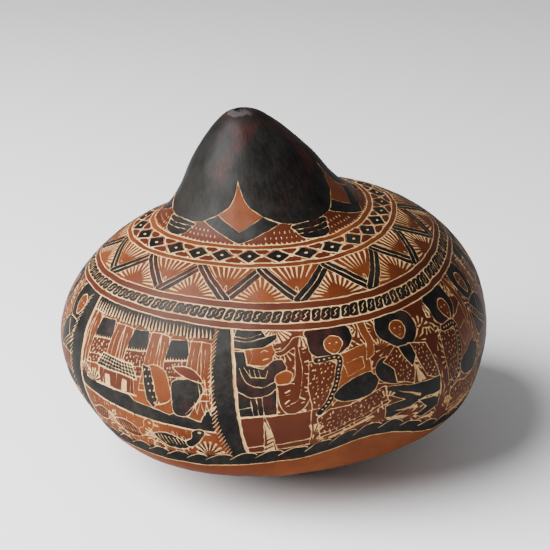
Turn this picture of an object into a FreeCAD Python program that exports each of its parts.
"""A whole dried bottle gourd, used as a rattle, with its own seeds loose inside it.

+Z is up. The gourd stands on a flat worn under its base, and the origin is on that flat's plane,
in the middle of the box around the gourd. Sizes are in millimetres.

The skin is one spline surface. Its control net is a profile, from the stem scar down to the middle
of the base, carried round the axis. The neck is then drawn sideways, the body is given its slight
lobes, and the whole is tilted as the gourd settles on its base.
"""
import FreeCAD, Part
import math
import os

os.makedirs("parts", exist_ok=True)

# Skin: radius and height of each control point of the profile, on the gourd's own axis.
PROFILE = [
    (3.4, 174.0),     # rim of the stem scar
    (10.5, 174.0),    # top of the neck
    (29.5, 152.3),
    (33.9, 141.9),    # side of the neck
    (46.9, 123.1),    # hollow between neck and shoulder
    (61.0, 122.2),
    (92.7, 98.4),     # shoulder
    (108.5, 63.7),    # widest part
    (89.7, 26.3),
    (75.7, 23.3),     # turn of the base
    (38.8, 0.0),
    (9.0, 0.0),       # middle of the base
]
COLUMNS = 24                    # control points round the gourd

# How this gourd departs from a turned shape.
LEAN_LEFT = 3.3                 # degrees that the axis leans towards -X
LEAN_FRONT = 1.6                # degrees that the axis leans towards -Y
NECK_SHIFT = (-9.4, -2.2)       # how far the neck is drawn off the axis
SHIFT_FOOT = 22.0               # height where that shift starts
SHIFT_SPAN = 150.0              # height over which it grows to its full amount
SHIFT_POWER = 2.7               # how late it grows
FRONT_TO_BACK = 0.985           # depth of the body as a share of its width
# Shares of the radius added as waves of one, two and three lobes (cosine, sine of each).
LOW_LOBES = (-0.004, -0.017, 0.001, -0.018, 0.034, -0.011)
HIGH_LOBES = (0.044, 0.037, 0.009, 0.053, -0.065, 0.003)
LOW_LOBE_FALL = (27.0, 87.0)    # the lower lobes fade out over these heights
HIGH_LOBE_RISE = (22.0, 72.0)   # the upper lobes fade in over these heights
HIGH_LOBE_FALL = (112.0, 152.0)  # and out again over these

# Wall, lining and the flat that the gourd stands on.
WALL = 3.5
PITH = 1.5
FLAT_DEPTH = 1.6                # how far the rounded base is worn away
LEAST_RADIUS = 2.0              # a wall's inset never closes tighter than this on the axis
TABLE_DEPTH = 50.0              # depth of the block that cuts the flat

# Corky stub of the stem, set in the scar at the tip.
STUB_RADIUS = 3.0
STUB_LENGTH = 2.6
STUB_SINK = 0.5                 # how far it has shrunk below the rim
POCKET_RUN = 5.0                # how far its pocket's cutter runs on past the rim

# Seeds: flat, narrow at the hilum, square-shouldered at the other end.
SEED_LENGTH = 15.0
SEED_WIDTH = 7.0
SEED_HILUM_WIDTH = 3.6
SEED_THICKNESS = 2.8
SEED_EDGE = 0.7                 # chamfer round both flat faces
SEED_SHOULDER = 0.7             # width across the square end as a share of the full width
SEED_TAPER = 3.0                # length over which the shoulders narrow to it
SEED_NOTCH = 0.8                # depth of the hollow in the square end
SEED_TURN = 55.0                # degrees between the ways that neighbours lie
RING_TURN = 20.0                # degrees added for each ring of seeds
SEED_RINGS = ((1, 0.0), (6, 19.0), (11, 37.0))   # count and radius of each ring of seeds
# Flakes of dry pith that have come loose from the lining.
FLAKE_PLACES = ((10.0, 54.0), (200.0, 54.0))     # bearing in degrees and radius
FLAKE_SIZE = 13.0
FLAKE_THICKNESS = 1.6
LOOSE_GAP = 0.5                 # air left under a loose piece, beside the floor's own curve
ROOF_GAP = 1.5                  # air left over it at the top of its throw
PROBE = 3.0                     # step used to find the floor's slope
TOUCH = 0.01                    # closeness at which a point counts as on a face or at one height

UP = FreeCAD.Vector(0, 0, 1)


def ease(value, low, high):
    """Smooth step from 0 at low to 1 at high."""
    share = min(max((value - low) / (high - low), 0.0), 1.0)
    return share * share * (3.0 - 2.0 * share)


def wave(shares, angle):
    """Sum of the one-, two- and three-lobed waves at an angle round the axis."""
    total = 0.0
    for order in (1, 2, 3):
        cosine, sine = shares[2 * order - 2], shares[2 * order - 1]
        total += cosine * math.cos(order * angle) + sine * math.sin(order * angle)
    return total


def inset(profile, depth):
    """The profile moved inwards by a wall's depth, square to the line between its neighbours."""
    moved = []
    for index, (radius, height) in enumerate(profile):
        before = profile[max(index - 1, 0)]
        after = profile[min(index + 1, len(profile) - 1)]
        along = (after[0] - before[0], after[1] - before[1])
        if index in (0, len(profile) - 1):
            along = (math.copysign(1.0, along[0]), 0.0)
        size = math.hypot(*along)
        moved.append((
            max(radius + depth * along[1] / size, LEAST_RADIUS),
            height - depth * along[0] / size,
        ))
    return moved


def net_point(radius, height, angle):
    """One control point, shifted with the neck and swollen with the lobes."""
    low = 1.0 - ease(height, *LOW_LOBE_FALL)
    high = ease(height, *HIGH_LOBE_RISE) * (1.0 - ease(height, *HIGH_LOBE_FALL))
    swell = 1.0 + low * wave(LOW_LOBES, angle) + high * wave(HIGH_LOBES, angle)
    shift = max((height - SHIFT_FOOT) / SHIFT_SPAN, 0.0) ** SHIFT_POWER
    # The spline runs inside its control points, so they stand out by this much.
    reach = radius * swell * 3.0 / (2.0 + math.cos(2.0 * math.pi / COLUMNS))
    return FreeCAD.Vector(
        NECK_SHIFT[0] * shift + reach * math.cos(angle),
        NECK_SHIFT[1] * shift + FRONT_TO_BACK * reach * math.sin(angle),
        height,
    )


def gourd_solid(profile):
    """Closed solid inside the spline surface of a profile, in the settled gourd's tilt."""
    angles = [2.0 * math.pi * column / COLUMNS for column in range(COLUMNS)]
    net = [[net_point(radius, height, angle) for radius, height in profile] for angle in angles]
    surface = Part.BSplineSurface()
    spans = len(profile) - 3
    surface.buildFromPolesMultsKnots(
        net,
        [1] * (COLUMNS + 1),
        [4] + [1] * (spans - 1) + [4],
        [float(knot) for knot in range(COLUMNS + 1)],
        [float(knot) for knot in range(spans + 1)],
        True, False, 3, 3,
    )
    side = surface.toShape()
    caps = [Part.Face(Part.Wire([edge])) for edge in side.Edges if edge.isClosed()]
    solid = Part.Solid(Part.Shell([side] + caps))
    if solid.Volume < 0:
        solid.reverse()
    solid.rotate(FreeCAD.Vector(), FreeCAD.Vector(0, 1, 0), -LEAN_LEFT)
    solid.rotate(FreeCAD.Vector(), FreeCAD.Vector(1, 0, 0), LEAN_FRONT)
    return solid


def box_of(shape):
    return shape.optimalBoundingBox(False, False)


def tip_place(shift):
    """Place and direction of the stem scar: the middle of the profile's first rim."""
    radius, height = PROFILE[0]
    rim = [net_point(radius, height, turn * math.pi / 2.0) for turn in range(4)]
    middle = (rim[0] + rim[1] + rim[2] + rim[3]) * 0.25
    tilt = FreeCAD.Rotation(FreeCAD.Vector(1, 0, 0), LEAN_FRONT).multiply(
        FreeCAD.Rotation(FreeCAD.Vector(0, 1, 0), -LEAN_LEFT))
    return tilt.multVec(middle) + shift, tilt.multVec(UP)


def seed_blank():
    """A flat seed lying along X, its middle at the origin."""
    half, wide, narrow = SEED_LENGTH / 2.0, SEED_WIDTH / 2.0, SEED_HILUM_WIDTH / 2.0
    low = -SEED_THICKNESS / 2.0
    hilum = [FreeCAD.Vector(-half + narrow, side * narrow, low) for side in (-1, 1)]
    tip = FreeCAD.Vector(-half, 0, low)
    shoulders = [FreeCAD.Vector(half, side * wide * SEED_SHOULDER, low) for side in (-1, 1)]
    flanks = [FreeCAD.Vector(half - SEED_TAPER, side * wide, low) for side in (-1, 1)]
    notch = FreeCAD.Vector(half - SEED_NOTCH, 0, low)
    edges = [
        Part.Arc(hilum[0], tip, hilum[1]).toShape(),
        Part.makeLine(hilum[1], flanks[1]),
        Part.makeLine(flanks[1], shoulders[1]),
        Part.Arc(shoulders[1], notch, shoulders[0]).toShape(),
        Part.makeLine(shoulders[0], flanks[0]),
        Part.makeLine(flanks[0], hilum[0]),
    ]
    blank = Part.Face(Part.Wire(edges)).extrude(UP * SEED_THICKNESS)
    flat_edges = [edge for edge in blank.Edges if abs(edge.BoundBox.ZLength) < TOUCH]
    return blank.makeChamfer(SEED_EDGE, flat_edges)


def flake_blank():
    """A torn flake of pith, five-sided, its middle at the origin."""
    reach = (1.0, 0.72, 0.9, 0.66, 0.84)
    corners = []
    for index, share in enumerate(reach):
        angle = 2.0 * math.pi * index / len(reach)
        corners.append(FreeCAD.Vector(
            share * FLAKE_SIZE / 2.0 * math.cos(angle),
            share * FLAKE_SIZE / 2.0 * math.sin(angle),
            -FLAKE_THICKNESS / 2.0,
        ))
    outline = Part.makePolygon(corners + corners[:1])
    return Part.Face(outline).extrude(UP * FLAKE_THICKNESS)


def span_of(cavity, x, y):
    """Lowest and highest height of the cavity on the upright line through x, y."""
    line = Part.Line(FreeCAD.Vector(x, y, 0.0), FreeCAD.Vector(x, y, 1.0))
    heights = []
    for face in cavity.Faces:
        for point in line.intersectCS(face.Surface)[0]:
            place = FreeCAD.Vector(point.X, point.Y, point.Z)
            if face.isInside(place, TOUCH, True):
                heights.append(point.Z)
    return min(heights), max(heights)


def lay_down(blank, cavity, x, y, turn):
    """Lay a flat piece on the cavity's floor at x, y and find how far it can be thrown up."""
    floor = span_of(cavity, x, y)[0]
    slope_x = (span_of(cavity, x + PROBE, y)[0] - span_of(cavity, x - PROBE, y)[0]) / (2.0 * PROBE)
    slope_y = (span_of(cavity, x, y + PROBE)[0] - span_of(cavity, x, y - PROBE)[0]) / (2.0 * PROBE)
    normal = FreeCAD.Vector(-slope_x, -slope_y, 1.0).normalize()
    piece = blank.copy()
    piece.rotate(FreeCAD.Vector(), UP, turn)
    tilt = FreeCAD.Rotation(UP, normal)
    piece.Placement = FreeCAD.Placement(FreeCAD.Vector(), tilt).multiply(piece.Placement)
    piece.translate(FreeCAD.Vector(x, y, floor) + normal * (box_of(blank).ZLength / 2.0 + LOOSE_GAP))
    low = box_of(piece)
    rise = []
    throw = []
    for corner_x in (low.XMin, x, low.XMax):
        for corner_y in (low.YMin, y, low.YMax):
            ground, roof = span_of(cavity, corner_x, corner_y)
            rise.append(ground - (floor + slope_x * (corner_x - x) + slope_y * (corner_y - y)))
            throw.append(roof - low.ZMax)
    lift = max(rise)
    piece.translate(UP * lift)
    return piece, min(throw) - lift - ROOF_GAP


# The gourd's skin, its cavity and the space inside its lining.
outer = gourd_solid(PROFILE)
hollow = gourd_solid(inset(PROFILE, WALL))
cavity = gourd_solid(inset(PROFILE, WALL + PITH))
extent = box_of(outer)
settle = FreeCAD.Vector(-extent.Center.x, -extent.Center.y, -extent.ZMin - FLAT_DEPTH)
for solid in (outer, hollow, cavity):
    solid.translate(settle)

below = Part.makeBox(extent.XLength * 2.0, extent.YLength * 2.0, TABLE_DEPTH)
below.translate(FreeCAD.Vector(-extent.XLength, -extent.YLength, -TABLE_DEPTH))
tip, tip_axis = tip_place(settle)
stub_foot = tip - tip_axis * (STUB_LENGTH + STUB_SINK)
pocket = Part.makeCylinder(STUB_RADIUS, STUB_LENGTH + STUB_SINK + POCKET_RUN, stub_foot, tip_axis)
stub = Part.makeCylinder(STUB_RADIUS, STUB_LENGTH, stub_foot, tip_axis)

pieces = {
    "gourd_shell": outer.cut(hollow).cut(below).cut(pocket),
    "pith_lining": hollow.cut(cavity),
    "stem_stub": stub,
}
throws = {}

seed = seed_blank()
number = 0
for ring, (count, ring_radius) in enumerate(SEED_RINGS):
    for place in range(count):
        number += 1
        bearing = 2.0 * math.pi * (place + 0.5 * ring) / count
        turn = math.degrees(bearing) + SEED_TURN * (place % 2) + RING_TURN * ring
        name = "seed_%02d" % number
        x, y = ring_radius * math.cos(bearing), ring_radius * math.sin(bearing)
        pieces[name], throws[name] = lay_down(seed, cavity, x, y, turn)

flake = flake_blank()
for index, (bearing, radius) in enumerate(FLAKE_PLACES):
    name = "pith_flake_%d" % (index + 1)
    x, y = radius * math.cos(math.radians(bearing)), radius * math.sin(math.radians(bearing))
    pieces[name], throws[name] = lay_down(flake, cavity, x, y, bearing)

for name, shape in pieces.items():
    if not shape.isValid() or len(shape.Solids) != 1:
        raise RuntimeError("%s is not one valid solid" % name)
    shape.Solids[0].exportStep("parts/%s.step" % name)
    centre = shape.Solids[0].CenterOfMass
    print("%-14s volume %9.0f  centre %6.1f %6.1f %6.1f  throw %s" % (
        name, shape.Volume, centre.x, centre.y, centre.z, round(throws.get(name, 0.0), 1)))
print("shell", box_of(pieces["gourd_shell"]))
flats = [face for face in pieces["gourd_shell"].Faces if abs(face.CenterOfMass.z) < 1e-4]
print("flat", [(round(face.Area), face.CenterOfMass) for face in flats])
